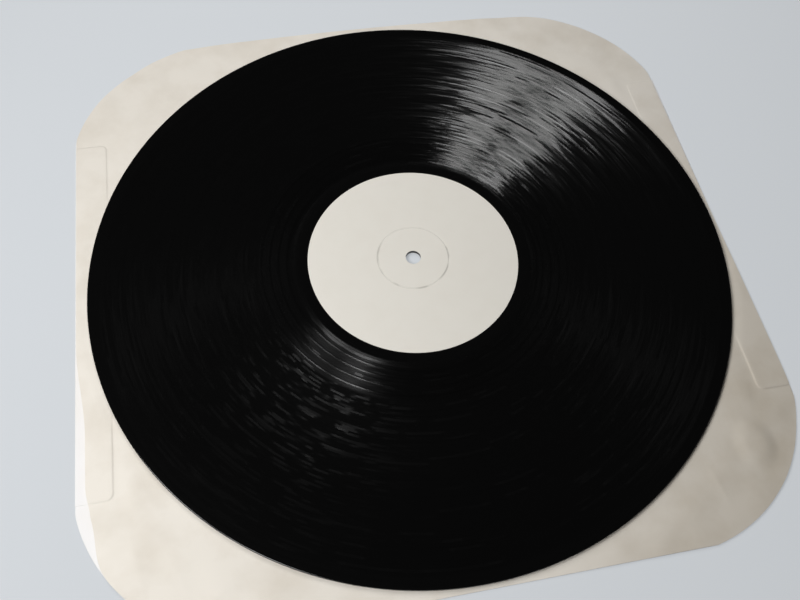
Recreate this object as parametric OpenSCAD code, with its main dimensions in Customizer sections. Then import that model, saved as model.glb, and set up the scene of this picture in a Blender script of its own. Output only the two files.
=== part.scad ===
/* [Record] */
// Outer diameter of the record
record_d = 301.6; // [298:0.2:304]
// Diameter of the spindle hole
hole_d = 7.24; // [6:0.02:10]
// Thickness over the flat land that holds the labels
land_t = 1.9; // [1.8:0.05:3]
// Thickness of the playing area
playing_t = 1.4; // [1:0.05:1.6]
// Thickness over the bead at the rim
rim_t = 1.7; // [1.65:0.05:2.5]
// Width of the flat top of the rim bead
rim_w = 2.2; // [1:0.1:3]
// Width of the slope from the rim bead down to the playing area
rim_slope_w = 1.4; // [0.6:0.1:2]
// Radius on the two corners of the outer edge
rim_edge_r = 0.4; // [0.1:0.05:0.8]
// Diameter of the flat land around the labels
land_d = 109; // [104:0.5:110]
// Width of the slope from the land down to the run-out area
land_slope_w = 3; // [1:0.1:3.5]

/* [Labels] */
// Diameter of each paper label
label_d = 100; // [95:0.5:102]
// Thickness of the label paper
label_t = 0.1; // [0.06:0.01:0.2]
// Gap between the edge of a label and its recess
label_edge_gap = 0.05; // [0:0.01:0.2]
// Diameter of the ring that the press leaves around the spindle hole
press_ring_d = 34; // [26:0.5:60]
// Width of the press ring
press_ring_w = 0.8; // [0.4:0.1:2]
// Depth of the press ring
press_ring_depth = 0.1; // [0.04:0.01:0.2]

/* [Groove] */
// Depth of the groove, whose two walls stand at 45 degrees
groove_depth = 0.2; // [0.1:0.01:0.25]
// Angle at which the groove starts, counter-clockwise from the right
groove_start_a = 90; // [90:180:270]
// Distance from the foot of the rim slope to the start of the groove
groove_start_gap = 0.4; // [0.3:0.1:2]
// Radial width of the lead-in half turn
lead_in_w = 1.3; // [0.8:0.1:3]
// Pitch of the turns inside a track
track_pitch = 2.8; // [2:0.1:3.2]
// Radial width of the single turn between two tracks
track_gap_w = 4.2; // [3:0.1:5]
// Half turns of the groove in track 1, the outermost
track_1_half_turns = 6; // [2:2:10]
// Half turns of the groove in track 2
track_2_half_turns = 12; // [2:2:16]
// Half turns of the groove in track 3
track_3_half_turns = 2; // [2:2:6]
// Half turns of the groove in track 4
track_4_half_turns = 8; // [2:2:12]
// Half turns of the groove in track 5
track_5_half_turns = 6; // [2:2:10]
// Half turns of the groove in track 6, the innermost
track_6_half_turns = 2; // [2:2:6]
// Pitch of the lead-out turns
lead_out_pitch = 4.1; // [3:0.1:8]
// Diameter of the locked groove that ends the side
locked_d = 118; // [117:0.5:126]
// Distance from the middle of the locked groove at which the lead-out runs into it
locked_join_gap = 0.1; // [0.05:0.01:0.15]

/* [Sleeve] */
// Width of the paper inner sleeve over its side creases, beyond the record's diameter
sleeve_side_room = 8; // [4:0.2:18]
// Height of the sleeve from its bottom fold to its mouth, beyond the record's diameter
sleeve_end_room = 4.4; // [3:0.2:18]
// Distance that the sleeve lies to the right of the record's centre
sleeve_x = -1.6; // [-5:0.1:5]
// Distance that the sleeve lies behind the record's centre
sleeve_y = 0.4; // [-5:0.1:5]
// Thickness of the sleeve paper
paper_t = 0.12; // [0.08:0.01:0.25]
// Radius of the die-cut corners
corner_r = 73.4; // [72.4:0.1:80]
// Distance from each edge to the centre of the corner arcs
corner_inset = 72; // [60:0.5:72]
// Diameter of the round window in both panels that the label shows through
window_d = 102; // [90:0.5:104]
// Distance that the front panel's sides stop short of the side creases
front_panel_inset = 0.5; // [0:0.1:3]

/* [Flaps] */
// Width of each side flap, from its crease to its inner edge
flap_w = 15; // [10:0.5:24]
// Distance from the ends of a straight side to the ends of its flap
flap_end_gap = 3; // [0:0.5:20]
// Radius on the two inner corners of a flap
flap_corner_r = 3; // [1:0.5:8]
// Space left between the plies inside a crease
crease_gap = 0.04; // [0.02:0.01:0.2]
// Width of the glue line between a flap and the front panel
glue_w = 7; // [4:0.5:9]
// Thickness of the glue
glue_t = 0.03; // [0.02:0.01:0.08]
// Distance from each end of a flap to the end of its glue line
glue_end_gap = 8; // [4:0.5:30]

/* [Hidden] */

// Record: radii, and heights above its middle plane
record_r = record_d / 2;
hole_r = hole_d / 2;
land_r = land_d / 2;
label_r = label_d / 2;
press_ring_r = press_ring_d / 2;
land_h = land_t / 2;
playing_h = playing_t / 2;
rim_h = rim_t / 2;
middle_z = max(land_h, rim_h);
rim_foot_r = record_r - rim_w - rim_slope_w;
run_out_r = land_r + land_slope_w;
edge_step = 18;
disc_fn = 240;

// Groove: bands from the rim inwards, each [start radius, half turns, radial step of a half turn]
track_turns = [
    track_1_half_turns, track_2_half_turns, track_3_half_turns,
    track_4_half_turns, track_5_half_turns, track_6_half_turns
];
track_count = len(track_turns);
track_step = track_pitch / 2;
lead_out_step = lead_out_pitch / 2;
lead_in_r = rim_foot_r - groove_start_gap;
first_track_r = lead_in_r - lead_in_w;
locked_r = locked_d / 2;
cut_over = 0.02;
function sum_to(list, count) = count == 0 ? 0 : list[count - 1] + sum_to(list, count - 1);
function track_start_r(i) = first_track_r - sum_to(track_turns, i) * track_step - i * track_gap_w;
function track_end_r(i) = track_start_r(i) - track_turns[i] * track_step;
function track_band(i) = [track_start_r(i), track_turns[i], track_step];
function gap_band(i) = [track_end_r(i), 2, track_gap_w / 2];

// The lead-out's last half turn takes what its whole half turns leave over
lead_out_r = track_end_r(track_count - 1);
lead_out_end_r = locked_r + locked_join_gap;
lead_out_turns = floor((lead_out_r - lead_out_end_r) / lead_out_step);
last_turn_r = lead_out_r - lead_out_turns * lead_out_step;
bands = concat(
    [[lead_in_r, 1, lead_in_w]],
    [for (i = [0:2 * track_count - 2]) i % 2 == 0 ? track_band(i / 2) : gap_band((i - 1) / 2)],
    [[lead_out_r, lead_out_turns, lead_out_step], [last_turn_r, 1, last_turn_r - lead_out_end_r]]
);
band_turns = [for (b = bands) b[1]];

// Sleeve: the plies lie one under the other below the record's resting plane
sleeve_w = record_d + sleeve_side_room;
sleeve_h = record_d + sleeve_end_room;
front_panel_z = -paper_t;
glue_z = front_panel_z - glue_t;
flap_z = glue_z - paper_t;
back_panel_z = flap_z - crease_gap - paper_t;
crease_r = paper_t + crease_gap / 2;
fold_r = -back_panel_z / 2;
corner_reach = corner_inset - sqrt(pow(corner_r, 2) - pow(corner_inset, 2));
side_len = sleeve_h - 2 * corner_reach;
fold_len = sleeve_w - 2 * corner_reach;
flap_len = side_len - 2 * flap_end_gap;
crease_x = sleeve_w / 2 - crease_r;
glue_len = flap_len - 2 * glue_end_gap;
glue_x = crease_x - flap_w / 2;
arc_fn = 120;

vinyl_colour = "#161617";
label_colour = "#d9d5cc";
paper_colour = "#ddd8cd";
glue_colour = "#cfc199";

// Surface line of one side of the record, from the hole out to the rim's middle
function surface_line(r_end) = [
    [hole_r, land_h],
    [press_ring_r - press_ring_w / 2, land_h],
    [press_ring_r, land_h - press_ring_depth],
    [press_ring_r + press_ring_w / 2, land_h],
    [r_end, land_h]
];
function lowered(points, drop) = [for (p = points) [p[0], p[1] - drop]];
function reversed(points) = [for (i = [len(points) - 1:-1:0]) points[i]];
function mirrored(points) = [for (p = points) [p[0], -p[1]]];
function rounded_edge() = [
    for (a = [0:edge_step:90])
        [record_r - rim_edge_r * (1 - sin(a)), rim_h - rim_edge_r * (1 - cos(a))]
];
function disc_side() = concat(
    lowered(surface_line(label_r), label_t),
    [[label_r, land_h], [land_r, land_h], [run_out_r, playing_h]],
    [[rim_foot_r, playing_h], [record_r - rim_w, rim_h]],
    rounded_edge()
);

// Lifts its child from the record's middle plane to where the underside rests at z = 0
module on_sleeve() {
    translate([0, 0, middle_z]) children();
}

// Cutting section of the groove: a 90 degree V that reaches just above the playing surface
module groove_section(r) {
    translate([r, playing_h])
        polygon([
            [-groove_depth - cut_over, cut_over],
            [0, -groove_depth],
            [groove_depth + cut_over, cut_over]
        ]);
}

// Half turns of one band that share a centre: those that start at the right, or at the left.
// Each half turn is an arc about a centre half a step off the axis, so that the turns run on
// from one side to the other without a kink.
module band_half(b, first_turn, starts_left) {
    start_r = b[0];
    step = b[2];
    offset_x = starts_left ? -step / 2 : step / 2;
    turns = [for (j = [0:b[1] - 1]) if ((first_turn + j) % 2 == (starts_left ? 1 : 0)) j];
    if (len(turns) > 0)
        translate([offset_x, 0, 0])
            rotate([0, 0, starts_left ? 180 : 0])
                rotate_extrude(angle = 180, $fn = disc_fn)
                    for (j = turns)
                        groove_section(start_r - (j + 0.5) * step);
}

// The whole groove of one side: lead-in, tracks and the gaps between them, lead-out, locked groove
module side_groove() {
    rotate([0, 0, groove_start_a])
        for (i = [0:len(bands) - 1], starts_left = [false, true])
            band_half(bands[i], sum_to(band_turns, i), starts_left);
    rotate_extrude($fn = disc_fn)
        groove_section(locked_r);
}

module vinyl_disc() {
    color(vinyl_colour)
        on_sleeve()
            difference() {
                rotate_extrude($fn = disc_fn)
                    polygon(concat(disc_side(), reversed(mirrored(disc_side()))));
                side_groove();
                rotate([180, 0, 0]) side_groove();
            }
}

// A label lies in its recess flush with the land, and follows the press ring
module label() {
    top = surface_line(label_r - label_edge_gap);
    color(label_colour)
        rotate_extrude($fn = disc_fn)
            polygon(concat(top, reversed(lowered(top, label_t))));
}

module side_a_label() {
    on_sleeve() label();
}

module side_b_label() {
    on_sleeve() rotate([180, 0, 0]) label();
}

module at_sleeve() {
    translate([sleeve_x, sleeve_y, 0]) children();
}

module both_sides() {
    children();
    mirror([1, 0, 0]) children();
}

// Waste outside a round corner whose arc centre is the origin
module corner_waste(r, reach) {
    difference() {
        square(reach);
        circle(r, $fn = arc_fn);
    }
}

// Die-cut outline of a panel with its window, from the bottom fold up to the mouth
module panel_outline(width) {
    difference() {
        translate([-width / 2, fold_r - sleeve_h / 2]) square([width, sleeve_h - fold_r]);
        circle(d = window_d, $fn = disc_fn);
        both_sides()
            for (end = [0, 1])
                mirror([0, end, 0])
                    translate([sleeve_w / 2 - corner_inset, sleeve_h / 2 - corner_inset])
                        corner_waste(corner_r, corner_inset * 2);
    }
}

module sleeve_front_panel() {
    color(paper_colour)
        at_sleeve()
            translate([0, 0, front_panel_z])
                linear_extrude(paper_t)
                    panel_outline(sleeve_w - 2 * front_panel_inset);
}

module sleeve_back_panel() {
    color(paper_colour)
        at_sleeve()
            translate([0, 0, back_panel_z])
                linear_extrude(paper_t)
                    panel_outline(2 * crease_x);
}

// Half tube of folded paper, along X from the origin
module crease(outer_r, length) {
    rotate([90, 0, 90])
        linear_extrude(length)
            intersection() {
                difference() {
                    circle(outer_r, $fn = arc_fn);
                    circle(outer_r - paper_t, $fn = arc_fn);
                }
                translate([-outer_r, -outer_r]) square([outer_r, 2 * outer_r]);
            }
}

module sleeve_bottom_fold() {
    color(paper_colour)
        at_sleeve()
            translate([-fold_len / 2, fold_r - sleeve_h / 2, -fold_r])
                crease(fold_r, fold_len);
}

// Right flap: the crease on the back panel's edge, and the ply that it turns in over that panel
module side_flap() {
    color(paper_colour) {
        translate([crease_x, -flap_len / 2, back_panel_z + crease_r])
            rotate([0, 0, 90])
                crease(crease_r, flap_len);
        translate([0, 0, flap_z])
            linear_extrude(paper_t)
                difference() {
                    translate([crease_x - flap_w, -flap_len / 2]) square([flap_w, flap_len]);
                    for (end = [0, 1])
                        mirror([0, end, 0])
                            translate([crease_x - flap_w + flap_corner_r, flap_len / 2 - flap_corner_r])
                                mirror([1, 0, 0])
                                    corner_waste(flap_corner_r, flap_corner_r * 2);
                }
    }
}

module right_side_flap() {
    at_sleeve() side_flap();
}

module left_side_flap() {
    at_sleeve() mirror([1, 0, 0]) side_flap();
}

// Right glue line: a strip with round ends between the flap and the front panel
module glue_line() {
    straight_len = glue_len - glue_w;
    color(glue_colour)
        translate([glue_x, 0, glue_z])
            linear_extrude(glue_t) {
                square([glue_w, straight_len], center = true);
                for (end = [-1, 1])
                    translate([0, end * straight_len / 2]) circle(d = glue_w, $fn = arc_fn);
            }
}

module right_glue_line() {
    at_sleeve() glue_line();
}

module left_glue_line() {
    at_sleeve() mirror([1, 0, 0]) glue_line();
}

vinyl_disc();
side_a_label();
side_b_label();
sleeve_front_panel();
sleeve_back_panel();
sleeve_bottom_fold();
left_side_flap();
right_side_flap();
left_glue_line();
right_glue_line();
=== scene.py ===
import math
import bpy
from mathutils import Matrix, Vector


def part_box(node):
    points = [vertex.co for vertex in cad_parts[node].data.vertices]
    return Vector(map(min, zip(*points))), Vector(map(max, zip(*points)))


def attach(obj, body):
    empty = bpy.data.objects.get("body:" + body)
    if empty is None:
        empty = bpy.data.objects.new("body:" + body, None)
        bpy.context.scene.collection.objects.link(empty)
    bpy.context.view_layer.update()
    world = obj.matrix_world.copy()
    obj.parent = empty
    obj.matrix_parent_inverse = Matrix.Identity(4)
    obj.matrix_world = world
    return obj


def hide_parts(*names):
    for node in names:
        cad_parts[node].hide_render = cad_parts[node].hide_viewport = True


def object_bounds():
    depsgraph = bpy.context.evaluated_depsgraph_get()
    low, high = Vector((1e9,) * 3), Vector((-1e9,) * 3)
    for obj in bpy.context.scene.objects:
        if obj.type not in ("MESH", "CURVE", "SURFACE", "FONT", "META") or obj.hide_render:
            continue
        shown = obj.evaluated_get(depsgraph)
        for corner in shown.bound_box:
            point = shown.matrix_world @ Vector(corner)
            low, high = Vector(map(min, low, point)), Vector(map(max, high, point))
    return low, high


bl_info = {
    "name": "Vinyl Record on its Paper Sleeve",
    "version": (1, 0, 0),
    "blender": (4, 5, 0),
    "location": "3D View > Sidebar > Record",
    "description": "Builds a long-playing record that lies on its paper inner sleeve",
    "category": "Add Mesh",
}

import bpy
import numpy as np
from mathutils import Matrix, Vector, geometry, noise

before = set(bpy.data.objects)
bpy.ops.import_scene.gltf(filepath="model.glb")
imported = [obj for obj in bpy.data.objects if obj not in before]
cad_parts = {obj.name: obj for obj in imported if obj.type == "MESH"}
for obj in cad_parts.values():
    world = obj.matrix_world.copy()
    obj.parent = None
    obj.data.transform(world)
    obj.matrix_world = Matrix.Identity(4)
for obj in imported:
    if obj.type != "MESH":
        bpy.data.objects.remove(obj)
cad_bounds = [list(corner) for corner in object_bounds()]

MM = 0.001
GROOVE_LINE = "groove_line"

MATH = "ShaderNodeMath"
VECTOR_MATH = "ShaderNodeVectorMath"
MAP_RANGE = "ShaderNodeMapRange"
MIX = "ShaderNodeMix"
NOISE = "ShaderNodeTexNoise"
PRINCIPLED = "ShaderNodeBsdfPrincipled"


def node_box(name):
    """Lowest and highest corner of a CAD node in millimetres."""
    low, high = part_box(name)
    return np.array(low) / MM, np.array(high) / MM


disc_low, disc_high = node_box("vinyl_disc")
back_low, back_high = node_box("sleeve_back_panel")
front_low, front_high = node_box("sleeve_front_panel")


def length(name, description, millimetres):
    """A size that the sidebar shows as a length."""
    return bpy.props.FloatProperty(
        name=name,
        description=description,
        default=millimetres * MM,
        precision=5,
        subtype="DISTANCE",
        unit="LENGTH",
    )


def linear(code):
    """Linear RGBA of an sRGB hex colour."""
    channels = [int(code[i : i + 2], 16) / 255 for i in (1, 3, 5)]
    return [
        c / 12.92 if c <= 0.04045 else ((c + 0.055) / 1.055) ** 2.4 for c in channels
    ] + [1.0]


def colour(name, description, code):
    """A colour that the sidebar shows as a swatch."""
    return bpy.props.FloatVectorProperty(
        name=name,
        description=description,
        default=linear(code),
        size=4,
        min=0,
        max=1,
        subtype="COLOR",
    )


class RecordSettings(bpy.types.PropertyGroup):
    """Sizes and colour of the pressed disc"""

    segments: bpy.props.IntProperty(
        name="Segments", description="Steps round the record", default=256, min=64
    )
    radius: length("Radius", "Outer radius of the record", disc_high[0])
    thickness: length(
        "Land Thickness", "Thickness over the label land", disc_high[2] - disc_low[2]
    )
    playing_thickness: length(
        "Playing Thickness", "Thickness of the playing area", 1.4
    )
    rim_thickness: length("Rim Thickness", "Thickness over the bead at the rim", 1.7)
    rim_width: length("Rim Width", "Width of the flat top of the rim bead", 2.2)
    rim_slope: length("Rim Slope", "Width of the slope inside the rim bead", 1.4)
    rim_edge: length("Rim Edge", "Radius on the corners of the outer edge", 0.4)
    hole_radius: length("Hole Radius", "Radius of the spindle hole", 3.62)
    label_radius: length("Label Radius", "Radius of the label recess", 50)
    label_depth: length("Label Depth", "Depth of the label recess", 0.1)
    press_ring_radius: length(
        "Press Ring Radius", "Radius of the ring that the press leaves in a label", 17
    )
    land_radius: length("Land Radius", "Radius of the flat land round a label", 54.8)
    playing_radius: length(
        "Playing Radius", "Radius at which the lead-in starts", 145.5
    )
    run_out_radius: length("Run-out Radius", "Radius at which the music ends", 73.5)
    run_out_pitch: length("Run-out Pitch", "Pitch of the lead-out groove", 4)
    locked_radius: length(
        "Locked Groove Radius", "Radius of the closed groove that ends the side", 59
    )
    line_half_width: length(
        "Line Half Width", "Half the width of the lead-out and locked grooves", 0.5
    )
    line_depth: length(
        "Line Depth", "Depth of the lead-out and locked grooves", 0.07
    )
    vinyl: colour("Vinyl", "Colour of the pressed PVC", "#060606")


class LabelSettings(bpy.types.PropertyGroup):
    """Colours of the plain labels"""

    paper: colour("Label Paper", "Colour of the plain label paper", "#dfdbd2")
    fibre: colour(
        "Label Fibre", "Colour of the darker fibres in the label", "#dad5cb"
    )
    # painted shade: the darker colour laid into the pressed ring's groove in broken
    # patches
    ring_shade: colour(
        "Rubbed Ring", "Colour of the ring that the press has rubbed", "#8f8c85"
    )


class SleeveSettings(bpy.types.PropertyGroup):
    """Sizes and colours of the paper inner sleeve"""

    paper: colour("Sleeve Paper", "Colour of the sleeve paper", "#e0dad0")
    # the darker tint of the paper's clouds, and the colour of the painted shade towards
    # the right corner of the folded end
    darker_tint_and_shade: colour("Aged Paper", "Colour where the paper has yellowed", "#c2b8a8")
    # painted light: the covered layers are lighter than the front sheet, so the strip that
    # shows along the left fold looks lit
    clean: colour(
        "Clean Paper", "Colour of the layers that the front sheet covers", "#e6e4e3"
    )
    glue: colour("Dried Glue", "Colour of the dried glue", "#cfc199")
    thickness: length("Thickness", "Thickness of the sleeve paper", 0.12)
    corner_radius: length("Corner Radius", "Radius of the die-cut corners", 73.4)
    corner_inset: length(
        "Corner Inset", "From each edge to the centre of the corner arcs", 72
    )
    window_radius: length("Window Radius", "Radius of the label window", 51)
    flap_width: length("Flap Width", "Width of the glued side flaps", 15.2)
    flap_half_length: length("Flap Half Length", "Half the length of a flap", 92.3)
    emboss: length(
        "Emboss", "How far a flap shows through the front panel", 0.42
    )
    fold_gap: length(
        "Fold Gap", "How far the front sheet has crept back from its left fold", 5.6
    )


class StageSettings(bpy.types.PropertyGroup):
    """Floor and lamps"""

    floor: colour("Floor", "Colour of the plain floor", "#9da0a3")
    floor_glow: bpy.props.FloatProperty(
        name="Floor Glow",
        description="How pale the floor stays where no lamp reaches it",
        default=1.0,
        min=0,
    )
    key_power: bpy.props.FloatProperty(
        name="Key Power",
        description="Power of each key panel",
        default=0.91,
        min=0,
        unit="POWER",
    )
    fill_power: bpy.props.FloatProperty(
        name="Fill Power",
        description="Power of the fill panel",
        default=1.5,
        min=0,
        unit="POWER",
    )


def add(tree, kind, inputs=(), **settings):
    """Adds a node with its settings. Its inputs come as a list in order, or by index
    or name, and each is a value, a socket, or a node whose first output is meant."""
    node = tree.nodes.new(kind)
    for key, value in settings.items():
        setattr(node, key, value)
    pairs = inputs.items() if isinstance(inputs, dict) else enumerate(inputs)
    for key, value in pairs:
        if isinstance(value, bpy.types.Node):
            value = value.outputs[0]
        if isinstance(value, bpy.types.NodeSocket):
            tree.links.new(value, node.inputs[key])
        else:
            node.inputs[key].default_value = value
    return node


def apart(tree, first, second):
    """The distance between two numbers, such as a radius and that of a ring."""
    difference = add(tree, MATH, [first, second], operation="SUBTRACT")
    return add(tree, MATH, [difference], operation="ABSOLUTE")


def new_material(name):
    """An empty node material with its output."""
    material = bpy.data.materials.new(name)
    material.use_nodes = True
    material.node_tree.nodes.clear()
    output = add(material.node_tree, "ShaderNodeOutputMaterial")
    return material, material.node_tree, output


def cover(node_name, material):
    """Gives a CAD node its material."""
    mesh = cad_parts[node_name].data
    mesh.materials.clear()
    mesh.materials.append(material)


def smooth(mesh):
    """Smooth shading that keeps the cut edges crisp."""
    mesh.shade_smooth()
    mesh.set_sharp_from_angle(angle=math.radians(35))


def new_object(name, vertices, faces, material):
    """A mesh object at the origin, smooth, with one material."""
    mesh = bpy.data.meshes.new(name)
    mesh.from_pydata(vertices, [], faces)
    mesh.validate()
    mesh.materials.append(material)
    smooth(mesh)
    piece = bpy.data.objects.new(name, mesh)
    bpy.context.scene.collection.objects.link(piece)
    return piece


def rising(value, low, high):
    """Smooth step from 0 at low to 1 at high."""
    t = np.clip((value - low) / (high - low), 0, 1)
    return t * t * (3 - 2 * t)


# Materials

# Radii in millimetres of the smooth turns between the tracks
RILLS = (77.6, 80.0, 91.5, 107.5, 114.8, 135.0)

PVC_IOR = 1.54
PAPER_IOR = 1.5


def ring_noise(tree, outward, radius, scale, ring_mm, detail):
    """Noise drawn out along the turns. Each ring of turns has a pattern of its own."""
    noise_step = 7.3
    spread = add(tree, VECTOR_MATH, [outward, (scale, scale, 0)], operation="MULTIPLY")
    ring = add(tree, MATH, [radius, ring_mm], operation="SNAP")
    height = add(tree, MATH, [ring, noise_step], operation="MULTIPLY")
    raised = add(tree, "ShaderNodeCombineXYZ", {2: height})
    place = add(tree, VECTOR_MATH, [spread, raised], operation="ADD")
    return add(tree, NOISE, {"Vector": place, "Scale": 1.0, "Detail": detail})


def groove_wall(tree, outward, along, lean, sway, look):
    """One wall of the groove. Its normal leans outward and sways along the turns.
    Gives its lobe, and how far it is turned to the eye."""
    surface = add(tree, "ShaderNodeNewGeometry").outputs["Normal"]
    sideways = add(tree, VECTOR_MATH, {0: along, 3: sway}, operation="SCALE")
    upright = add(tree, VECTOR_MATH, [surface, sideways], operation="ADD")
    push = add(tree, VECTOR_MATH, {0: outward, 3: lean}, operation="SCALE")
    leaning = add(tree, VECTOR_MATH, [upright, push], operation="ADD")
    leaning = add(tree, VECTOR_MATH, [leaning], operation="NORMALIZE")
    weight = add(tree, "ShaderNodeLayerWeight", {"Blend": 0.5, "Normal": leaning})
    turned_away = weight.outputs["Facing"]
    shown = add(tree, MATH, [1.0, turned_away], operation="SUBTRACT")
    lobe = add(tree, PRINCIPLED, {**look, "Tangent": outward, "Normal": leaning})
    return lobe, shown


def pressed_pvc(settings):
    """Pressed PVC: black and glossy. Its groove walls lean 45 degrees in and out, so
    that a lamp shows as two opposite wedges. Walls and land are lobes of their own
    here, because the real groove, ten turns to the millimetre, is too fine to show.
    It is drawn as rings of turns about a millimetre wide."""
    material, tree, output = new_material("pressed_pvc")
    # the lobes' normals lean on purpose, so nothing turns them back
    material.cycles.use_bump_map_correction = False
    place = add(tree, "ShaderNodeTexCoord").outputs["Object"]
    in_mm = add(tree, VECTOR_MATH, {0: place, 3: 1 / MM}, operation="SCALE")
    level = add(tree, VECTOR_MATH, [in_mm, (1, 1, 0)], operation="MULTIPLY")
    radius = add(tree, VECTOR_MATH, [level], operation="LENGTH").outputs[1]
    outward = add(tree, VECTOR_MATH, [level], operation="NORMALIZE")
    along = add(tree, VECTOR_MATH, [(0, 0, 1), outward], operation="CROSS_PRODUCT")

    # at each radius: the share of groove walls, how loudly they are cut, and how
    # shallow they are
    land_foot = settings.land_radius / MM + 1.9
    run_out = settings.run_out_radius / MM
    playing = settings.playing_radius / MM
    stops = [
        (land_foot + 0.1, 0, 0.8, 0.5),
        (land_foot + 1.1, 1, 0.8, 0.5),
        (run_out - 0.6, 1, 0.8, 0.5),
        (run_out, 0.8, 1, 0),
        (playing - 0.3, 0.8, 1, 0),
        (playing + 0.5, 0, 0, 0),
    ]
    ramp_end = 160.0
    along_ramp = add(tree, MATH, [radius, ramp_end], operation="DIVIDE")
    ramp = add(tree, "ShaderNodeValToRGB", [along_ramp])
    elements = ramp.color_ramp.elements
    elements[0].color = elements[1].color = (0, 0, 0, 1)
    for stop in stops:
        elements.new(stop[0] / ramp_end).color = (*stop[1:], 1)
    share, loud, shallow = add(tree, "ShaderNodeSeparateColor", [ramp]).outputs

    # between the tracks, and in the lead-out groove, the walls are cut smooth
    off_rill = 10.0  # far off, until a rill is nearer
    for rill in RILLS:
        off = apart(tree, radius, rill)
        off_rill = add(tree, MATH, [off, off_rill], operation="MINIMUM")
    music = add(tree, MAP_RANGE, [off_rill, 0.35, 0.6, 0, 1])
    loud = add(tree, MATH, [loud, music], operation="MULTIPLY")
    clear_cut = add(tree, MAP_RANGE, [music, 0, 1, 1, 0])
    share = add(tree, MATH, [share, clear_cut], operation="MAXIMUM")
    line = add(tree, "ShaderNodeAttribute", attribute_name=GROOVE_LINE).outputs["Fac"]
    share = add(tree, MATH, [share, line], operation="MAXIMUM")
    shallow = add(tree, MATH, [shallow, line], operation="MAXIMUM")
    off_line = add(tree, MAP_RANGE, [line, 0, 0.6, 1, 0.2])
    loud = add(tree, MATH, [loud, off_line], operation="MULTIPLY")

    # the foot of the land's slope is turned in fine steps that face the rim
    off_foot = apart(tree, radius, land_foot)
    foot = add(tree, MAP_RANGE, [off_foot, 0.6, 0.9, 1, 0])
    shallow = add(tree, MATH, [shallow, foot], operation="MAXIMUM")

    # a lean of 1 is 45 degrees: most walls stand near it, steeper towards the rim,
    # and a few rings fall much flatter
    lean_noise = ring_noise(tree, outward, radius, scale=4.6, ring_mm=1.1, detail=0.5)
    upper = add(tree, MAP_RANGE, [lean_noise, 0.3, 0.7, 0.95, 1.06], clamp=False)
    fallen = add(tree, MAP_RANGE, [lean_noise, 0.27, 0.41, 0.5, 1.2])
    cut = add(tree, MATH, [upper, fallen], operation="MINIMUM")
    steeper = add(tree, MAP_RANGE, [radius, run_out + 1.5, playing - 5.5, 0, 0.12])
    flatter = add(tree, MAP_RANGE, [shallow, 0, 1, 1, 0.75])
    lean = add(tree, MIX, {0: loud, 2: 0.95, 3: cut}, data_type="FLOAT")
    lean = add(tree, MATH, [lean, steeper], operation="ADD")
    lean = add(tree, MATH, [lean, flatter], operation="MULTIPLY")

    # loud walls sway along the turns, and fallen ones hardly do
    sway_noise = ring_noise(tree, outward, radius, scale=5.0, ring_mm=0.8, detail=1.0)
    calm = add(tree, MAP_RANGE, [cut, 0.7, 0.86, 0.15, 1])
    sway = add(tree, MAP_RANGE, [sway_noise, 0.33, 0.67, -0.09, 0.09])
    sway = add(tree, MATH, [sway, calm], operation="MULTIPLY")
    sway = add(tree, MATH, [sway, loud], operation="MULTIPLY")

    # shallow and fallen walls are duller, and quiet ones glossier
    torn = add(tree, MAP_RANGE, [cut, 0.6, 0.9, 1.4, 1])
    quiet = add(tree, MAP_RANGE, [loud, 0.1, 0.6, 0.72, 1])
    roughness = add(tree, MAP_RANGE, [shallow, 0, 1, 0.19, 0.27])
    roughness = add(tree, MATH, [roughness, quiet], operation="MULTIPLY")
    roughness = add(tree, MATH, [roughness, torn], operation="MULTIPLY")
    brushed = add(tree, MAP_RANGE, [shallow, 0, 0.5, 0.35, 0.84])
    clear_brushed = add(tree, MATH, [clear_cut, 0.7], operation="MULTIPLY")
    brushed = add(tree, MATH, [brushed, clear_brushed], operation="MAXIMUM")

    # the walls that face the rim fall flatter more often, in shorter stretches
    slack_noise = ring_noise(tree, outward, radius, scale=10.0, ring_mm=0.9, detail=0.5)
    slack = add(tree, MAP_RANGE, [slack_noise, 0.37, 0.52, 0.56, 1.2])
    slack = add(tree, MATH, [slack, shallow], operation="ADD")
    lean_to_rim = add(tree, MATH, [lean, slack], operation="MINIMUM")
    # the first turn of the lead-out is cut deepest, and its walls slump the most
    first_turn = add(tree, MAP_RANGE, [radius, run_out - 5, run_out - 3, 0.25, 1])
    first_turn = add(tree, MATH, [line, first_turn], operation="MULTIPLY")
    slumped = add(tree, MAP_RANGE, [first_turn, 0, 1, 1, 0.82])
    lean_to_rim = add(tree, MATH, [lean_to_rim, slumped], operation="MULTIPLY")
    blunt = add(tree, MAP_RANGE, [shallow, 0, 0.5, 1.7, 1])
    blunt = add(tree, MATH, [roughness, blunt], operation="MULTIPLY")

    # the wall that faces the rim, and then the one that faces the label
    walls = []
    shown = []
    for side, slope, unrest, finish in (
        (1.0, lean_to_rim, 0.45, blunt),
        (-1.0, lean, 1.0, roughness),
    ):
        push = add(tree, MATH, [slope, side], operation="MULTIPLY")
        swing = add(tree, MATH, [sway, unrest], operation="MULTIPLY")
        look = {
            "Base Color": settings.vinyl,
            "Roughness": finish,
            "IOR": PVC_IOR,
            "Anisotropic": brushed,
        }
        wall, seen = groove_wall(tree, outward, along, push, swing, look)
        walls.append(wall)
        shown.append(seen)
    # a wall that turns away is hidden behind the next turn, so it counts for less
    both = add(tree, MATH, shown, operation="ADD")
    to_label = add(tree, MATH, [shown[1], both], operation="DIVIDE")
    one_sided = add(tree, MAP_RANGE, [foot, 0, 1, 1, 0.2])
    to_label = add(tree, MATH, [to_label, one_sided], operation="MULTIPLY")

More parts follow.
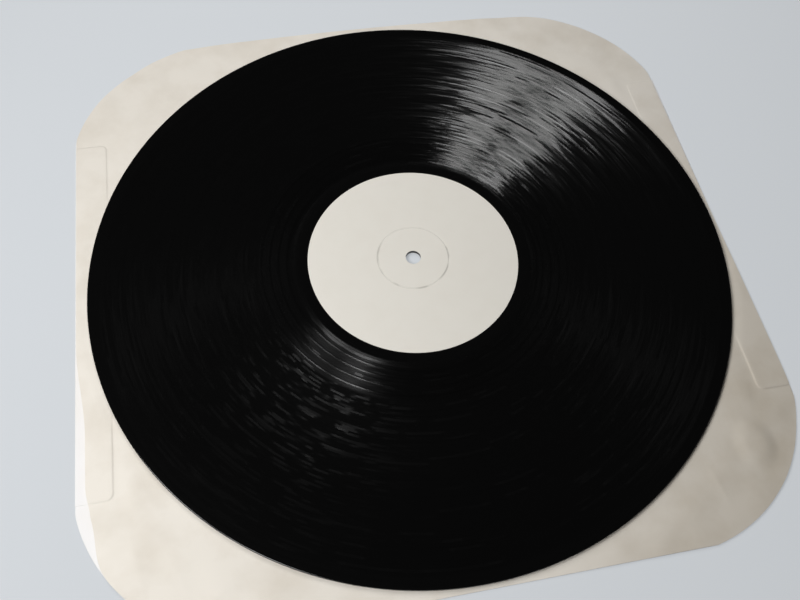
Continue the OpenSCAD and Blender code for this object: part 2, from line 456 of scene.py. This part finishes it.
    # the slope beside the land carries the turned finish of the stamper
    off_slope = apart(tree, radius, land_foot - 0.8)
    turned = add(tree, MAP_RANGE, [off_slope, 1, 1.4, 1, 0])
    land = add(
        tree,
        PRINCIPLED,
        {
            "Base Color": settings.vinyl,
            "Roughness": add(tree, MAP_RANGE, [turned, 0, 1, 0.12, 0.26]),
            "IOR": PVC_IOR,
            "Anisotropic": add(tree, MAP_RANGE, [turned, 0, 1, 0, 0.93]),
            "Tangent": outward,
        },
    )
    # in the music the walls that face the rim are torn and keep little of their gloss,
    # and least in the outer half
    torn_most = (run_out + playing) / 2 + 10.5
    left_whole = add(tree, MAP_RANGE, [radius, run_out + 0.5, torn_most, 0.32, 0.04])
    whole_wall = add(tree, MAP_RANGE, [shallow, 0, 0.5, left_whole, 1])
    to_rim = add(tree, "ShaderNodeMixShader", [whole_wall, land, walls[0]])
    pair = add(tree, "ShaderNodeMixShader", [to_label, to_rim, walls[1]])
    gloss = add(tree, MAP_RANGE, [line, 0, 1, 0.6, 0.9])
    share = add(tree, MATH, [share, gloss], operation="MULTIPLY")
    foot_share = add(tree, MATH, [foot, 0.65], operation="MULTIPLY")
    share = add(tree, MATH, [share, foot_share], operation="MAXIMUM")
    whole = add(tree, "ShaderNodeMixShader", [share, land, pair])
    tree.links.new(whole.outputs[0], output.inputs[0])
    return material


def painted_ring_shade(tree, place, tint, ring_radius, ring_shade):
    """The tint of a label, with painted shade in broken patches along its pressed ring."""
    line_mm, blurred_mm, patch_mm = 0.25, 0.6, 9
    reach = add(tree, VECTOR_MATH, [place], operation="LENGTH").outputs[1]
    off_ring = apart(tree, reach, ring_radius)
    on_ring = add(tree, MAP_RANGE, [off_ring, line_mm * MM, blurred_mm * MM, 1, 0])
    patches = add(tree, NOISE, {"Vector": place, "Scale": 1 / (patch_mm * MM)})
    # painted shade in the groove of the pressed ring, in broken patches
    ring_shading = add(tree, MAP_RANGE, [patches, 0.46, 0.62, 0.1, 0.45])
    ring_shading = add(tree, MATH, [ring_shading, on_ring], operation="MULTIPLY")
    mix = add(tree, MIX, {0: ring_shading, 6: tint, 7: ring_shade}, data_type="RGBA")
    return mix.outputs[2]


def paper(name, base, darker, cloud_mm, fibre_mm, roughness, cloudy, corner_shade=0, ring=()):
    """Uncoated paper: matte, with soft clouds of denser pulp and a fine grain. Towards the
    sleeve's corner at the right of its folded end it is painted darker, as painted shade.
    Real fibres are too fine to show, so the grain is drawn at about half a millimetre."""
    material, tree, output = new_material(name)
    place = add(tree, "ShaderNodeTexCoord").outputs["Object"]
    clouds = {"Scale": 1 / (cloud_mm * MM), "Detail": 4.0, "Roughness": 0.55}
    clouds = add(tree, NOISE, {"Vector": place, **clouds})
    cloud_and_shade = add(tree, MAP_RANGE, [clouds, 0.42, 0.72, 0, cloudy])
    # painted shade: the paper darkens towards the right corner of the sleeve's folded end
    to_corner = (1, -0.6, 0)
    shade_from, shade_to = 100 * MM, 210 * MM
    reach = add(tree, VECTOR_MATH, [place, to_corner], operation="DOT_PRODUCT")
    corner_shading = [reach.outputs["Value"], shade_from, shade_to, 0, corner_shade]
    corner_shading = add(tree, MAP_RANGE, corner_shading)
    cloud_and_shade = add(tree, MATH, [cloud_and_shade, corner_shading], operation="ADD", use_clamp=True)
    mix = add(tree, MIX, {0: cloud_and_shade, 6: base, 7: darker}, data_type="RGBA")
    tint = mix.outputs[2]
    # painted shade along the label's pressed ring
    if ring:
        tint = painted_ring_shade(tree, place, tint, *ring)
    grain = {"Scale": 1 / (fibre_mm * MM), "Detail": 2.0}
    grain = add(tree, NOISE, {"Vector": place, **grain})
    bump = {"Height": grain, "Strength": 0.35, "Distance": 0.03 * MM}
    look = {
        "Base Color": tint,
        "Roughness": roughness,
        "IOR": PAPER_IOR,
        "Normal": add(tree, "ShaderNodeBump", bump),
    }
    skin = add(tree, PRINCIPLED, look)
    tree.links.new(skin.outputs[0], output.inputs[0])
    return material


def dried_glue(colour_of_film):
    """Dried paste: a thin yellowish film, smoother than the paper that it joins."""
    material, tree, output = new_material("dried_glue")
    film = add(tree, PRINCIPLED, {"Base Color": colour_of_film, "Roughness": 0.4})
    tree.links.new(film.outputs[0], output.inputs[0])
    return material


# The record

# Radius in millimetres of the circle along which the disc's section is swept
SWEEP_RADIUS = 1.0


def half_profile(settings):
    """(radius, height) of one side of the disc from the hole to the rim, in
    millimetres, with the height measured from the middle plane."""
    top = settings.thickness / MM / 2
    playing = settings.playing_thickness / MM / 2
    rim = settings.rim_thickness / MM / 2
    recess = top - settings.label_depth / MM
    hole = settings.hole_radius / MM
    ring = settings.press_ring_radius / MM
    label = settings.label_radius / MM
    land = settings.land_radius / MM
    run_out = settings.run_out_radius / MM
    outer = settings.radius / MM
    edge = settings.rim_edge / MM
    slope = settings.rim_slope / MM
    slope_foot = outer - settings.rim_width / MM - slope
    chamfer = 0.1
    ring_depth = 0.1
    ring_half_width = 0.4
    line = [
        (hole, recess - chamfer),
        (hole + chamfer, recess),
        (ring - ring_half_width, recess),
        (ring, recess - ring_depth),
        (ring + ring_half_width, recess),
        (label - 0.02, recess),
        (label, top - 0.03),
        (label + 0.05, top),
        (land, top),
    ]
    # the land drops to the run-out area over a short steep slope with soft ends
    line += [(land + 0.3, top - 0.006), (land + 0.5, top - 0.03)]
    line += [(land + 1.06, playing + 0.02), (land + 1.3, playing + 0.004)]
    # the lead-out groove needs close points, and the flat playing area few
    line += [(r, playing) for r in np.arange(land + 1.7, run_out + 1, 0.22)]
    line += [(r, playing) for r in np.arange(run_out + 4, slope_foot - 1.2, 6)]
    for t in np.linspace(0, 1, 7):
        height = playing + (rim - playing) * float(rising(t, 0, 1))
        line.append((slope_foot + slope * t, height))
    line.append((outer - 2 * edge, rim))
    for a in np.radians(np.arange(0, 90.1, 15)):
        line.append(
            (outer - edge * (1 - math.sin(a)), rim - edge * (1 - math.cos(a)))
        )
    return line


def groove_tree(settings, material):
    """Turns a cross-section about the spindle hole, and presses the lead-out and the
    locked groove into both sides."""
    tree = bpy.data.node_groups.new("pressed_record", "GeometryNodeTree")
    inputs = [
        ("Profile", "NodeSocketGeometry", None),
        ("Segments", "NodeSocketInt", settings.segments),
        ("Locked Groove Radius", "NodeSocketFloat", settings.locked_radius),
        ("Run-out Radius", "NodeSocketFloat", settings.run_out_radius),
        ("Run-out Pitch", "NodeSocketFloat", settings.run_out_pitch),
        ("Line Half Width", "NodeSocketFloat", settings.line_half_width),
        ("Line Depth", "NodeSocketFloat", settings.line_depth),
        ("Middle Height", "NodeSocketFloat", settings.thickness / 2),
        ("Material", "NodeSocketMaterial", material),
    ]
    sockets = {}
    for name, kind, value in inputs:
        socket = tree.interface.new_socket(name, in_out="INPUT", socket_type=kind)
        sockets[name] = (socket.identifier, value)
    tree.interface.new_socket(
        "Record", in_out="OUTPUT", socket_type="NodeSocketGeometry"
    )
    given = add(tree, "NodeGroupInput").outputs

    section = add(tree, "GeometryNodeMeshToCurve", [given["Profile"]])
    section = add(tree, "GeometryNodeSetSplineCyclic", {0: section, 2: True})
    path = add(
        tree,
        "GeometryNodeCurvePrimitiveCircle",
        {"Resolution": given["Segments"], "Radius": SWEEP_RADIUS * MM},
        mode="RADIUS",
    )
    turned = add(tree, "GeometryNodeCurveToMesh", [path, section])

    place = add(tree, "GeometryNodeInputPosition")
    x, y, z = add(tree, "ShaderNodeSeparateXYZ", [place]).outputs
    level = add(tree, VECTOR_MATH, [place, (1, 1, 0)], operation="MULTIPLY")
    radius = add(tree, VECTOR_MATH, [level], operation="LENGTH").outputs[1]
    above = add(tree, MATH, [z, given["Middle Height"]], operation="SUBTRACT")
    above = add(tree, MATH, [above], operation="SIGN")

    # the lead-out runs inwards by one pitch a turn, counter-clockwise from each side
    y_seen = add(tree, MATH, [y, above], operation="MULTIPLY")
    angle = add(tree, MATH, [y_seen, x], operation="ARCTAN2")
    turn = add(tree, MATH, [angle, math.tau], operation="DIVIDE")
    steps = add(tree, MATH, [radius, given["Run-out Radius"]], operation="SUBTRACT")
    steps = add(tree, MATH, [steps, given["Run-out Pitch"]], operation="DIVIDE")
    steps = add(tree, MATH, [steps, turn], operation="ADD")
    nearest = add(tree, MATH, [steps], operation="ROUND")
    to_line = apart(tree, steps, nearest)
    to_line = add(tree, MATH, [to_line, given["Run-out Pitch"]], operation="MULTIPLY")
    # it starts where the music ends and stops at the locked groove, so beyond them a
    # metre is added to the distance
    start = given["Run-out Radius"]
    end = given["Locked Groove Radius"]
    before = add(tree, MATH, [radius, start], operation="GREATER_THAN")
    after = add(tree, MATH, [radius, end], operation="LESS_THAN")
    off_spiral = add(tree, MATH, [before, after], operation="ADD")
    to_line = add(tree, MATH, [off_spiral, to_line], operation="ADD")
    to_locked = apart(tree, radius, end)
    distance = add(tree, MATH, [to_line, to_locked], operation="MINIMUM")

    line = add(tree, MAP_RANGE, [distance, 0, given["Line Half Width"], 1, 0])
    depth = add(tree, MATH, [line, given["Line Depth"]], operation="MULTIPLY")
    drop = add(tree, MATH, [depth, above], operation="MULTIPLY")
    drop = add(tree, MATH, [drop, -1.0], operation="MULTIPLY")
    down = add(tree, "ShaderNodeCombineXYZ", {2: drop})
    pressed = add(tree, "GeometryNodeSetPosition", {0: turned, 3: down})
    marked = add(
        tree,
        "GeometryNodeStoreNamedAttribute",
        {0: pressed, 2: GROOVE_LINE, 3: line},
        data_type="FLOAT",
        domain="POINT",
    )
    whole = add(tree, "GeometryNodeRealizeInstances", [marked])
    whole = add(tree, "GeometryNodeSetMaterial", {0: whole, 2: given["Material"]})
    add(tree, "NodeGroupOutput", [whole])
    return tree, sockets


class OBJECT_OT_pressed_disc(bpy.types.Operator):
    """Turns the pressed disc with its rim bead, slopes and lead-out groove"""

    bl_idname = "object.pressed_disc"
    bl_label = "Pressed Disc"

    def execute(self, context):
        settings = context.scene.record_settings
        top = half_profile(settings)
        loop = top + [(r, -h) for r, h in reversed(top)]
        middle = settings.thickness / 2
        profile = bpy.data.meshes.new("disc_section")
        # Curve to Mesh lays the section on its circle with its Y axis pointing down
        profile.from_pydata(
            [((r - SWEEP_RADIUS) * MM, -h * MM - middle, 0) for r, h in loop],
            [(i, (i + 1) % len(loop)) for i in range(len(loop))],
            [],
        )
        source = bpy.data.objects.new("disc_section", profile)
        context.scene.collection.objects.link(source)
        tree, sockets = groove_tree(settings, pressed_pvc(settings))
        modifier = source.modifiers.new("pressed_record", "NODES")
        modifier.node_group = tree
        for identifier, value in sockets.values():
            if value is not None:
                modifier[identifier] = value
        context.view_layer.update()
        evaluated = source.evaluated_get(context.evaluated_depsgraph_get())
        mesh = bpy.data.meshes.new_from_object(evaluated)
        source.modifiers.clear()
        bpy.data.objects.remove(source)
        mesh.name = "pressed_disc"
        smooth(mesh)
        disc = bpy.data.objects.new("pressed_disc", mesh)
        context.scene.collection.objects.link(disc)
        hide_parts("vinyl_disc")
        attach(disc, "record")
        return {"FINISHED"}


class OBJECT_OT_plain_labels(bpy.types.Operator):
    """Gives both plain paper labels their paper"""

    bl_idname = "object.plain_labels"
    bl_label = "Plain Labels"

    def execute(self, context):
        settings = context.scene.label_settings
        ring_radius = context.scene.record_settings.press_ring_radius
        material = paper(
            "label_paper",
            settings.paper,
            settings.fibre,
            cloud_mm=9.0,
            fibre_mm=0.5,
            roughness=0.75,
            cloudy=0.35,
            ring=(ring_radius, settings.ring_shade),
        )
        for name in ("side_a_label", "side_b_label"):
            cover(name, material)
        return {"FINISHED"}


# The sleeve, in millimetres about its own centre

# Where the sleeve's centre lies, seen from the record's
CENTRE = np.array([-1.6, 0.4])
# Half the sleeve's width over its side creases, and half its height
HALF_WIDTH = 154.8
HALF_HEIGHT = 153.0
FLAP_CORNER = 3.0

# Steps between a sheet's points: along its edge, hidden, and where it shows, which is
# beyond HIDDEN_REACH from the record's centre
EDGE_STEP = 1.5
COARSE_STEP = 3.0
FINE_STEP = 1.1
HIDDEN_REACH = 147
CORNER_POINTS = 62
WINDOW_POINTS = 200
# How far the grid's points stay clear of the edge, the window and the flaps' rows
CLEAR_OF_EDGE = 0.9
CLEAR_OF_WINDOW = 1.2
CLEAR_OF_FLAP = 1.0

# The most that loose paper stands up, and what is left of a flap's edge under the disc
MOST_LIFT = 1.7
PRESSED_EDGE = 0.08

# Waves of the loose paper: length, place in the noise and share of the height
WAVES = ((38, 4.2, 1.0), (12, 9.1, 0.45))

# Folds, seen from the record's centre: middle, direction in degrees, height, half
# width and half length
FOLDS = (
    (-127, -94, -58, 0.30, 1.6, 9),
    (-133, -117, -79, 0.30, 2.5, 9),
    (-118, -124, -66, 0.20, 3.0, 12),
    (-104, -137, 35, 0.25, 2.5, 14),
    (105, -128, 100, 0.25, 1.6, 9),
    (106, -119, -18, 0.18, 1.2, 6),
    (133, -92, 74, 0.20, 0.9, 5),
    (139, -99.5, -18, 0.20, 0.9, 8),
    (119, 118, 42, 0.16, 3.0, 20),
    (-114, 124, -48, 0.16, 3.0, 20),
)

# The bulge that a thumb left in a corner, seen from the record's centre: middle, half
# width, half length and height
BULGE = (127, -115, 10.5, 13, 0.9)


def panel_outline(settings, half_width):
    """Points round a panel with its four die-cut corners."""
    reach = settings.corner_inset / MM
    arc = settings.corner_radius / MM
    start = math.acos(reach / arc)
    corners = [(1, 1, 0), (-1, 1, 90), (-1, -1, 180), (1, -1, 270)]
    points = []
    for sx, sy, turn in corners:
        centre = np.array([sx * (HALF_WIDTH - reach), sy * (HALF_HEIGHT - reach)])
        for a in np.linspace(start, math.pi / 2 - start, CORNER_POINTS):
            a += math.radians(turn)
            points.append(centre + arc * np.array([math.cos(a), math.sin(a)]))
    dense = []
    for a, b in zip(points, points[1:] + points[:1]):
        count = max(1, round(np.linalg.norm(b - a) / EDGE_STEP))
        dense += [a + (b - a) * i / count for i in range(count)]
    outline = np.array(dense)
    outline[:, 0] = np.clip(outline[:, 0], -half_width, half_width)
    return outline


def inside_outline(points, outline):
    """Which points lie inside a closed outline."""
    inside = np.zeros(len(points), bool)
    for a, b in zip(outline, np.roll(outline, -1, axis=0)):
        if a[1] == b[1]:
            continue
        crosses = (a[1] > points[:, 1]) != (b[1] > points[:, 1])
        at = a[0] + (points[:, 1] - a[1]) * (b[0] - a[0]) / (b[1] - a[1])
        inside ^= crosses & (points[:, 0] < at)
    return inside


def flap_distance(settings, points):
    """Distance to the outline of the nearest glued flap, negative inside it."""
    inner = HALF_WIDTH - settings.flap_width / MM
    dx = inner + FLAP_CORNER - np.abs(points[:, 0])
    dy = np.abs(points[:, 1]) - (settings.flap_half_length / MM - FLAP_CORNER)
    outside = np.hypot(np.maximum(dx, 0), np.maximum(dy, 0))
    return outside + np.minimum(np.maximum(dx, dy), 0) - FLAP_CORNER


def flap_rows(settings, half_width):
    """Rows of points along the edges of both flaps, for their pressed outline."""
    inner = HALF_WIDTH - settings.flap_width / MM
    end = settings.flap_half_length / MM
    rows = []
    for off in (-0.5, -0.25, 0.0, 0.25, 0.5):
        reach = FLAP_CORNER + off
        for sx in (-1, 1):
            for y in np.arange(-end + FLAP_CORNER, end - FLAP_CORNER, FINE_STEP):
                rows.append((sx * (inner - off), y))
            for sy in (-1, 1):
                for x in np.arange(inner + FLAP_CORNER, half_width - 0.7, 1.2):
                    rows.append((sx * x, sy * (end + off)))
                for a in np.radians(np.arange(0, 91, 15)):
                    x = inner + FLAP_CORNER - reach * math.cos(a)
                    y = end - FLAP_CORNER + reach * math.sin(a)
                    rows.append((sx * x, sy * y))
    return np.array(rows)


def panel_grid(half_width, shown_step):
    """Rows of points over a panel, closer where it shows outside the record."""
    grids = []
    for step, low, high in (
        (COARSE_STEP, 0, HIDDEN_REACH),
        (shown_step, HIDDEN_REACH, math.inf),
    ):
        rows = np.arange(-HALF_HEIGHT, HALF_HEIGHT + step, step)
        columns = np.arange(-half_width, half_width + step, step)
        grid = np.array(
            [
                (x + (step / 2 if i % 2 else 0), y)
                for i, y in enumerate(rows)
                for x in columns
            ]
        )
        reach = np.linalg.norm(grid + CENTRE, axis=1)
        grids.append(grid[(reach >= low) & (reach < high)])
    return np.vstack(grids)


def panel_plan(settings, half_width, embossed):
    """Points and triangles of a flat panel with its label window. One that flaps are
    embossed in has rows of points along their edges."""
    outline = panel_outline(settings, half_width)
    window = settings.window_radius / MM
    turns = np.linspace(0, math.tau, WINDOW_POINTS, endpoint=False)
    ring = window * np.stack([np.cos(turns), np.sin(turns)], 1)
    grid = panel_grid(half_width, FINE_STEP if embossed else COARSE_STEP)
    if embossed:
        grid = grid[np.abs(flap_distance(settings, grid)) > CLEAR_OF_FLAP]
        grid = np.vstack([grid, flap_rows(settings, half_width)])
    # points too near an edge would make needles of triangles
    from_edge = np.min(
        np.hypot(
            grid[:, None, 0] - outline[None, ::2, 0],
            grid[:, None, 1] - outline[None, ::2, 1],
        ),
        axis=1,
    )
    reach = np.hypot(grid[:, 0], grid[:, 1])
    clear = (from_edge > CLEAR_OF_EDGE) & (reach > window + CLEAR_OF_WINDOW)
    points = np.vstack([outline, ring, grid[inside_outline(grid, outline) & clear]])
    edges = [(i, (i + 1) % len(outline)) for i in range(len(outline))]
    base = len(outline)
    edges += [(base + i, base + (i + 1) % len(ring)) for i in range(len(ring))]
    found, _, faces, *_ = geometry.delaunay_2d_cdt(
        [Vector(p) for p in points], edges, [], 0, 1e-6
    )
    points = np.array([(p.x, p.y) for p in found])
    faces = np.array(faces)
    centres = points[faces].mean(axis=1)
    in_window = np.hypot(centres[:, 0], centres[:, 1]) <= window
    return points, faces[inside_outline(centres, outline) & ~in_window]


def lift(points):
    """How far the loose paper outside the record stands up from flat."""
    x, y = (points + CENTRE).T
    free = rising(np.hypot(x, y), 151.5, 166)
    beside_flap = rising(np.abs(points[:, 0]), 130, 138)
    glued = beside_flap * (1 - rising(np.abs(points[:, 1]), 91, 104))
    waves = sum(
        share * np.array([noise.noise(Vector((*(p / long), seed))) for p in points])
        for long, seed, share in WAVES
    )
    height = 0.5 + 0.55 * waves
    for middle_x, middle_y, turn, high, wide, long in FOLDS:
        a = math.radians(turn)
        across = (y - middle_y) * math.cos(a) - (x - middle_x) * math.sin(a)
        beside = (x - middle_x) * math.cos(a) + (y - middle_y) * math.sin(a)
        ridge = np.exp(-np.abs(across) / wide) * np.exp(-((beside / long) ** 2))
        height += high * ridge
    middle_x, middle_y, wide, long, high = BULGE
    off_bulge = np.hypot((x - middle_x) / wide, (y - middle_y) / long)
    height += high * (1 - rising(off_bulge, 0.3, 1))
    return np.clip(free * (1 - glued) * height, 0, MOST_LIFT)


def raised_flaps(settings, points):
    """How far the glued flaps press the front sheet up."""
    # the record's weight presses the flap's edge nearly flat
    reach = np.linalg.norm(points + CENTRE, axis=1)
    more = settings.emboss / MM - PRESSED_EDGE
    raised = PRESSED_EDGE + more * rising(reach, 151, 156)
    raised *= 1 - rising(flap_distance(settings, points), -0.45, 0.45)
    # the right flap was never pressed towards the mouth, and hardly shows through there
    unpressed = rising(points[:, 0], 100, 130) * rising(points[:, 1], 0, 40)
    return raised * (1 - 0.65 * unpressed)


def hand_cut(points):
    """Moves the edges to where the real sheet's stand: a bowed mouth and a right edge
    out of square."""
    x, y = points[:, 0], points[:, 1]
    near_mouth = rising(y, 60, 152)
    near_right = rising(x, 60, 152)
    # across and up run to 1 about where the corner arcs start
    across, up = x / 91, y / 93
    bow = np.maximum(1.5 - 1.0 * across - 3.2 * across**2, -3.2)
    skew = (0.3 - 0.8 * up) * (1 - rising(-y, 78, 118))
    return points + np.stack([near_right * skew, near_mouth * bow], axis=1)


def crept_back(settings, points):
    """Draws the front sheet's left edge back from the fold, where the flap shows."""
    x, y = points[:, 0], points[:, 1]
    # towards the folded end it draws back in two steps, and meets the fold again
    along = 0.66 * rising(-y, 20, 64) + 0.34 * rising(-y, 85, 99)
    along *= 1 - rising(-y, 100, 132)
    moved = points.copy()
    moved[:, 0] += rising(-x, 140, 154.3) * along * settings.fold_gap / MM
    return moved


def paper_panel(name, settings, heights, points, faces, material):
    """A sheet of the paper's thickness over a plan, with its edge walls."""
    moved = hand_cut(points) + CENTRE
    count = len(points)
    top = np.column_stack([moved, heights])
    bottom = np.column_stack([moved, heights - settings.thickness / MM])
    directed = np.vstack([faces[:, [0, 1]], faces[:, [1, 2]], faces[:, [2, 0]]])
    known = {tuple(e) for e in directed}
    walls = [
        (b, a, a + count, b + count) for a, b in directed if (b, a) not in known
    ]
    corners = [*faces, *(faces[:, ::-1] + count), *walls]
    return new_object(
        name,
        [tuple(p * MM) for p in np.vstack([top, bottom])],
        [tuple(int(i) for i in f) for f in corners],
        material,
    )


class OBJECT_OT_paper_sleeve(bpy.types.Operator):
    """Cuts the panels of the inner sleeve, and gives its folds their paper"""

    bl_idname = "object.paper_sleeve"
    bl_label = "Paper Sleeve"

    def execute(self, context):
        settings = context.scene.sleeve_settings
        material = paper(
            "uncoated_sleeve_paper",
            settings.paper,
            settings.darker_tint_and_shade,
            cloud_mm=24.0,
            fibre_mm=0.6,
            roughness=0.85,
            cloudy=0.38,
            corner_shade=0.6,
        )
        # painted light: the covered layers are paler, so the strip along the left fold
        # looks lit
        covered = paper(
            "covered_sleeve_paper_painted_lighter",
            settings.clean,
            settings.paper,
            cloud_mm=34.0,
            fibre_mm=0.6,
            roughness=0.85,
            cloudy=0.5,
        )
        front_half = (front_high[0] - front_low[0]) / 2
        places, faces = panel_plan(settings, front_half, embossed=True)
        heights = front_high[2] + raised_flaps(settings, places) + lift(places)
        places = crept_back(settings, places)
        front = paper_panel("front_sheet", settings, heights, places, faces, material)
        back_half = (back_high[0] - back_low[0]) / 2
        places, faces = panel_plan(settings, back_half, embossed=False)
        heights = back_high[2] + 0.6 * lift(places)
        back = paper_panel("back_sheet", settings, heights, places, faces, covered)
        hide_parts("sleeve_front_panel")
        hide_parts("sleeve_back_panel")
        for sheet in (front, back):
            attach(sheet, "sleeve")
        cover("sleeve_bottom_fold", material)
        glue = dried_glue(settings.glue)
        for side in ("left", "right"):
            cover(f"{side}_side_flap", covered)
            cover(f"{side}_glue_line", glue)
        return {"FINISHED"}


# The stage, in metres

FLOOR_HALF = 8.0
FLOOR_DROP = 0.02 * MM

# The key is two soft panels side by side at the left, near the camera, so that the
# groove walls show it as two wedges
KEY_PLACE = Vector((-0.2915, -0.1597, 0.371))
KEY_SIZE = (0.127, 0.2)
KEY_OFF = 0.086
FILL_PLACE = Vector((-0.03, 0.27, 0.45))
FILL_SIZE = (0.4, 0.4)

# The world's light at the horizon, and from a few degrees above it
HORIZON = (-1, 0.38)
SKY = (6, 0.02)

# Fitted to the disc's edge in the photograph
SENSOR_MM = 36
LENS_MM = 36.416
VIEW = {
    "azimuth": -14.494,
    "elevation": 61.27,
    "roll": 4.360,
    "distance": 0.37508,
    "target": (-0.010247, -0.020681, 0),
}


def camera_matrix(azimuth, elevation, roll, distance, target):
    """Camera turned about its target, with azimuth 0 in front and roll about the line
    of sight."""
    az, el, turn = (math.radians(a) for a in (azimuth, elevation, roll))
    back = Vector(
        (math.sin(az) * math.cos(el), -math.cos(az) * math.cos(el), math.sin(el))
    )
    right = Vector((0, 0, 1)).cross(back).normalized()
    up = back.cross(right)
    turned_right = math.cos(turn) * right + math.sin(turn) * up
    turned_up = -math.sin(turn) * right + math.cos(turn) * up
    matrix = Matrix((turned_right, turned_up, back)).transposed().to_4x4()
    matrix.translation = Vector(target) + back * distance
    return matrix


def matte_floor(settings):
    """Matte paper backdrop: plain and without gloss. What the camera and the gloss
    see of it stays pale away from the lamps."""
    material, tree, output = new_material("matte_floor")
    look = {"Color": settings.floor, "Roughness": 0.9}
    surface = add(tree, "ShaderNodeBsdfDiffuse", look)
    path = add(tree, "ShaderNodeLightPath").outputs
    seen = path["Is Camera Ray"]
    for ray in ("Is Glossy Ray", "Is Transmission Ray"):
        seen = add(tree, MATH, [seen, path[ray]], operation="MAXIMUM")
    glow = add(tree, MATH, [seen, settings.floor_glow], operation="MULTIPLY")
    pale = add(tree, "ShaderNodeEmission", [settings.floor, glow])
    both = add(tree, "ShaderNodeAddShader", [surface, pale])
    tree.links.new(both.outputs[0], output.inputs[0])
    return material


def hang_panel(name, size, power, place, across):
    """A soft panel that shines at the record, with its width along across."""
    lamp = bpy.data.lights.new(name, "AREA")
    lamp.shape = "RECTANGLE"
    lamp.size, lamp.size_y = size
    lamp.energy = power
    back = place.normalized()
    right = (across - back * back.dot(across)).normalized()
    matrix = Matrix((right, back.cross(right), back)).transposed().to_4x4()
    matrix.translation = place
    panel = bpy.data.objects.new(name, lamp)
    panel.matrix_world = matrix
    panel.visible_camera = False
    bpy.context.scene.collection.objects.link(panel)
    return panel


def studio_world():
    """A world that is pale at the horizon and dark above, so the vinyl stays black."""
    world = bpy.data.worlds.new("studio")
    world.use_nodes = True
    tree = world.node_tree
    tree.nodes.clear()
    ray = add(tree, "ShaderNodeTexCoord").outputs["Generated"]
    rise = add(tree, "ShaderNodeSeparateXYZ", [ray]).outputs[2]
    low, high = (math.sin(math.radians(angle)) for angle, _ in (HORIZON, SKY))
    fade = [rise, low, high, HORIZON[1], SKY[1]]
    shade = add(tree, MAP_RANGE, fade, interpolation_type="SMOOTHSTEP")
    glow = add(tree, "ShaderNodeBackground", [(1, 1, 1, 1), shade])
    sky = add(tree, "ShaderNodeOutputWorld", [glow])
    sky.is_active_output = True
    return world


class OBJECT_OT_record_stage(bpy.types.Operator):
    """Lays the floor and sets up the lamps, the world and the camera"""

    bl_idname = "object.record_stage"
    bl_label = "Stage"

    def execute(self, context):
        scene = context.scene
        settings = scene.stage_settings
        corners = ((-1, -1), (1, -1), (1, 1), (-1, 1))
        height = cad_bounds[0][2] - FLOOR_DROP
        floor = new_object(
            "floor",
            [(x * FLOOR_HALF, y * FLOOR_HALF, height) for x, y in corners],
            [(0, 1, 2, 3)],
            matte_floor(settings),
        )

        across = Vector((-KEY_PLACE.y, KEY_PLACE.x, 0)).normalized()
        for name, off in (("key_left", -KEY_OFF), ("key_right", KEY_OFF)):
            place = KEY_PLACE + across * off
            hang_panel(name, KEY_SIZE, settings.key_power, place, across)
        fill = hang_panel(
            "fill", FILL_SIZE, settings.fill_power, FILL_PLACE, Vector((1, 0, 0))
        )
        fill.visible_glossy = False
        scene.world = studio_world()

        data = bpy.data.cameras.new("camera")
        data.sensor_width = SENSOR_MM
        data.lens = LENS_MM
        data.clip_start = 0.01
        camera = bpy.data.objects.new("camera", data)
        camera.matrix_world = camera_matrix(**VIEW)
        scene.collection.objects.link(camera)
        scene.camera = camera
        scene.view_settings.view_transform = "Standard"
        return {"FINISHED"}


class VIEW3D_PT_record(bpy.types.Panel):
    """Lists the record's operators and settings"""

    bl_label = "Record"
    bl_space_type = "VIEW_3D"
    bl_region_type = "UI"
    bl_category = "Record"

    def draw(self, context):
        for operator in OPERATORS:
            self.layout.operator(operator.bl_idname)
        for name in SETTINGS:
            group = getattr(context.scene, name)
            box = self.layout.box()
            for key in group.bl_rna.properties.keys():
                if key not in ("rna_type", "name"):
                    box.prop(group, key)


SETTINGS = {
    "record_settings": RecordSettings,
    "label_settings": LabelSettings,
    "sleeve_settings": SleeveSettings,
    "stage_settings": StageSettings,
}
OPERATORS = (
    OBJECT_OT_pressed_disc,
    OBJECT_OT_plain_labels,
    OBJECT_OT_paper_sleeve,
    OBJECT_OT_record_stage,
)


def register():
    for cls in (*SETTINGS.values(), *OPERATORS, VIEW3D_PT_record):
        bpy.utils.register_class(cls)
    for name, cls in SETTINGS.items():
        setattr(bpy.types.Scene, name, bpy.props.PointerProperty(type=cls))


def unregister():
    for name in SETTINGS:
        delattr(bpy.types.Scene, name)
    for cls in (VIEW3D_PT_record, *OPERATORS, *reversed(SETTINGS.values())):
        bpy.utils.unregister_class(cls)


def main():
    register()
    for operator in OPERATORS:
        group, name = operator.bl_idname.split(".")
        getattr(getattr(bpy.ops, group), name)()


if __name__ == "__main__":
    main()
